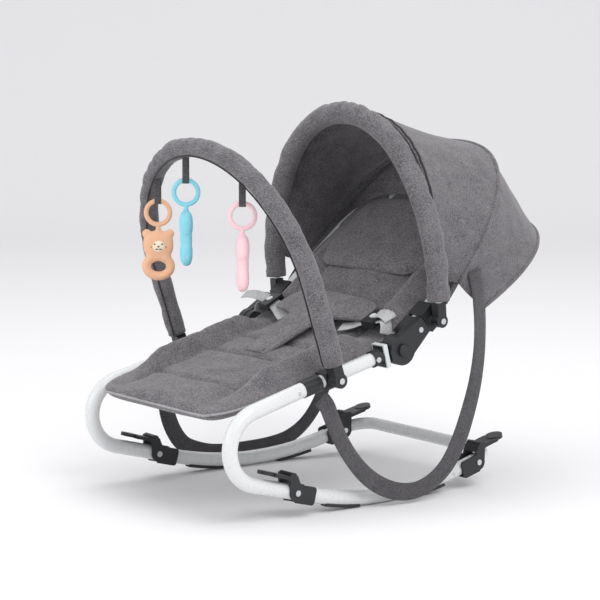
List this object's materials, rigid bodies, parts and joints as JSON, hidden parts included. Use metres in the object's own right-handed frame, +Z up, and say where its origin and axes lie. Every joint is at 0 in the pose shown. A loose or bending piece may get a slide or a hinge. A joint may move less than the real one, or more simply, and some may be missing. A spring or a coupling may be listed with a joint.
{
  "type": "baby bouncer seat",
  "caption": "Rocking baby bouncer with tubular steel frame, reclining cloth seat, folding canopy and a toy bar with hanging toys.",
  "frame": {"origin": "on the floor, at the middle of the bounding box's bottom", "axes": "+Z up, the seat faces -Y, +X to the viewer's right when looking along +Y"},
  "size_m": [0.4902, 0.7416, 0.6501],
  "materials": {
    "white_steel": "white powder coat, satin",
    "bare_steel": "zinc plated, smooth",
    "black_plastic": "moulded, fine texture",
    "pale_plastic": "moulded, pale grey",
    "rubber": "soft, matt",
    "grey_cloth": "plain weave melange",
    "dark_webbing": "woven tape",
    "pale_webbing": "woven tape",
    "peach_silicone": "soft silicone",
    "aqua_silicone": "soft silicone",
    "pink_silicone": "soft silicone"
  },
  "bodies": {
    "frame": {"rocker_tube_right": "white_steel", "rocker_tube_left": "white_steel", "rear_tube": "white_steel", "runner_pads": "rubber", "frame_rivets": "bare_steel", "arm_connector_right": "black_plastic", "arm_connector_left": "black_plastic", "side_tube_right": "white_steel", "side_tube_left": "white_steel", "front_bar": "bare_steel", "hinge_housing_right": "black_plastic", "hinge_housing_left": "black_plastic", "hinge_collars": "pale_plastic", "hinge_pins": "bare_steel", "toy_bar_mounts": "black_plastic", "stop_rivets": "bare_steel", "seat_pad": "grey_cloth", "crotch_pad": "grey_cloth", "waist_strap_right": "pale_webbing", "waist_strap_left": "pale_webbing", "buckle_right": "black_plastic", "buckle_left": "black_plastic", "carry_strap_right": "dark_webbing", "carry_strap_left": "dark_webbing"},
    "backrest": {"hinge_arm_right": "black_plastic", "hinge_arm_left": "black_plastic", "backrest_tube": "white_steel", "canopy_clips": "black_plastic", "canopy_pins": "bare_steel", "back_rivets": "bare_steel", "back_pad": "grey_cloth", "head_pad": "grey_cloth", "canopy_rear_panel": "grey_cloth"},
    "middle bow": {"canopy_bow": "bare_steel", "canopy_front_panel": "grey_cloth"},
    "front hoop": {"canopy_hoop_tube": "bare_steel", "hoop_sockets": "black_plastic", "hoop_cover": "grey_cloth"},
    "toy bar": {"toy_bar_tube": "bare_steel", "toy_bar_sockets": "black_plastic", "toy_bar_cover": "grey_cloth", "toy_loops": "dark_webbing"},
    "bear": {"bear_ring": "peach_silicone", "bear_figure": "peach_silicone"},
    "blue toy": {"blue_ring": "aqua_silicone", "blue_teether": "aqua_silicone"},
    "pink toy": {"pink_ring": "pink_silicone", "pink_teether": "pink_silicone"},
    "front stop right": {"stop_front_right": "black_plastic"},
    "front stop left": {"stop_front_left": "black_plastic"},
    "rear stop right": {"stop_rear_right": "black_plastic"},
    "rear stop left": {"stop_rear_left": "black_plastic"},
    "front snap right": {"snap_front_right": "bare_steel"},
    "front snap left": {"snap_front_left": "bare_steel"},
    "rear snap right": {"snap_rear_right": "bare_steel"},
    "rear snap left": {"snap_rear_left": "bare_steel"},
    "recline button right": {"recline_button_right": "black_plastic"},
    "recline button left": {"recline_button_left": "black_plastic"},
    "buckle button right": {"buckle_button_right": "pale_plastic"},
    "buckle button left": {"buckle_button_left": "pale_plastic"}
  },
  "joints": [
    {"name": "recline", "type": "hinge", "parent": "frame", "child": "backrest", "pos_m": [0, -0.023, 0.2541], "axis": [1, 0, 0], "range_deg": [-22, 0], "deforming": ["carry_strap_right", "carry_strap_left"]},
    {"name": "canopy middle bow", "type": "hinge", "parent": "backrest", "child": "middle bow", "pos_m": [0, 0.04721, 0.298], "axis": [1, 0, 0], "range_deg": [-2, 0], "deforming": ["canopy_rear_panel"]},
    {"name": "canopy front hoop", "type": "hinge", "parent": "middle bow", "child": "front hoop", "pos_m": [0, 0.04721, 0.298], "axis": [1, 0, 0], "range_deg": [-12, 0], "deforming": ["canopy_front_panel"]},
    {"name": "toy bar fold", "type": "hinge", "parent": "frame", "child": "toy bar", "pos_m": [0, -0.162, 0.21816], "axis": [1, 0, 0], "range_deg": [-30, 30]},
    {"name": "bear swing", "type": "hinge", "parent": "toy bar", "child": "bear", "pos_m": [-0.136, -0.26703, 0.4879], "axis": [0.5878, 0.809, 0], "range_deg": [-25, 25]},
    {"name": "blue toy swing", "type": "hinge", "parent": "toy bar", "child": "blue toy", "pos_m": [-0.03, -0.28036, 0.52892], "axis": [0.5878, 0.809, 0], "range_deg": [-25, 25]},
    {"name": "pink toy swing", "type": "hinge", "parent": "toy bar", "child": "pink toy", "pos_m": [0.118, -0.27078, 0.49943], "axis": [0.5878, 0.809, 0], "range_deg": [-25, 25]},
    {"name": "front stop right fold", "type": "hinge", "parent": "frame", "child": "front stop right", "pos_m": [0.20171, -0.23583, 0.04283], "axis": [0.9991, 0.0419, 0], "range_deg": [-40, 0]},
    {"name": "rear stop right fold", "type": "hinge", "parent": "frame", "child": "rear stop right", "pos_m": [0.18517, 0.15882, 0.04361], "axis": [0.9991, 0.0419, 0], "range_deg": [0, 40]},
    {"name": "front snap right press", "type": "slide", "parent": "frame", "child": "front snap right", "axis": [-0.9991, -0.0419, 0], "range_m": [0, 0.003], "stiffness_N_per_m": 300},
    {"name": "rear snap right press", "type": "slide", "parent": "frame", "child": "rear snap right", "axis": [-0.9991, -0.0419, 0], "range_m": [0, 0.003], "stiffness_N_per_m": 300},
    {"name": "recline button right press", "type": "slide", "parent": "backrest", "child": "recline button right", "axis": [-1, 0, 0], "range_m": [0, 0.003], "stiffness_N_per_m": 500},
    {"name": "buckle button right press", "type": "slide", "parent": "frame", "child": "buckle button right", "axis": [0, 0.454, -0.891], "range_m": [0, 0.002], "stiffness_N_per_m": 300},
    {"name": "front stop left fold", "type": "hinge", "parent": "frame", "child": "front stop left", "pos_m": [-0.20171, -0.23583, 0.04283], "axis": [0.9991, -0.0419, 0], "range_deg": [-40, 0]},
    {"name": "rear stop left fold", "type": "hinge", "parent": "frame", "child": "rear stop left", "pos_m": [-0.18517, 0.15882, 0.04361], "axis": [0.9991, -0.0419, 0], "range_deg": [0, 40]},
    {"name": "front snap left press", "type": "slide", "parent": "frame", "child": "front snap left", "axis": [0.9991, -0.0419, 0], "range_m": [0, 0.003], "stiffness_N_per_m": 300},
    {"name": "rear snap left press", "type": "slide", "parent": "frame", "child": "rear snap left", "axis": [0.9991, -0.0419, 0], "range_m": [0, 0.003], "stiffness_N_per_m": 300},
    {"name": "recline button left press", "type": "slide", "parent": "backrest", "child": "recline button left", "axis": [1, 0, 0], "range_m": [0, 0.003], "stiffness_N_per_m": 500},
    {"name": "buckle button left press", "type": "slide", "parent": "frame", "child": "buckle button left", "axis": [0, 0.454, -0.891], "range_m": [0, 0.002], "stiffness_N_per_m": 300}
  ],
  "couplings": [
    {"joint": "canopy middle bow", "follows": "canopy front hoop", "ratio": 0.15}
  ]
}
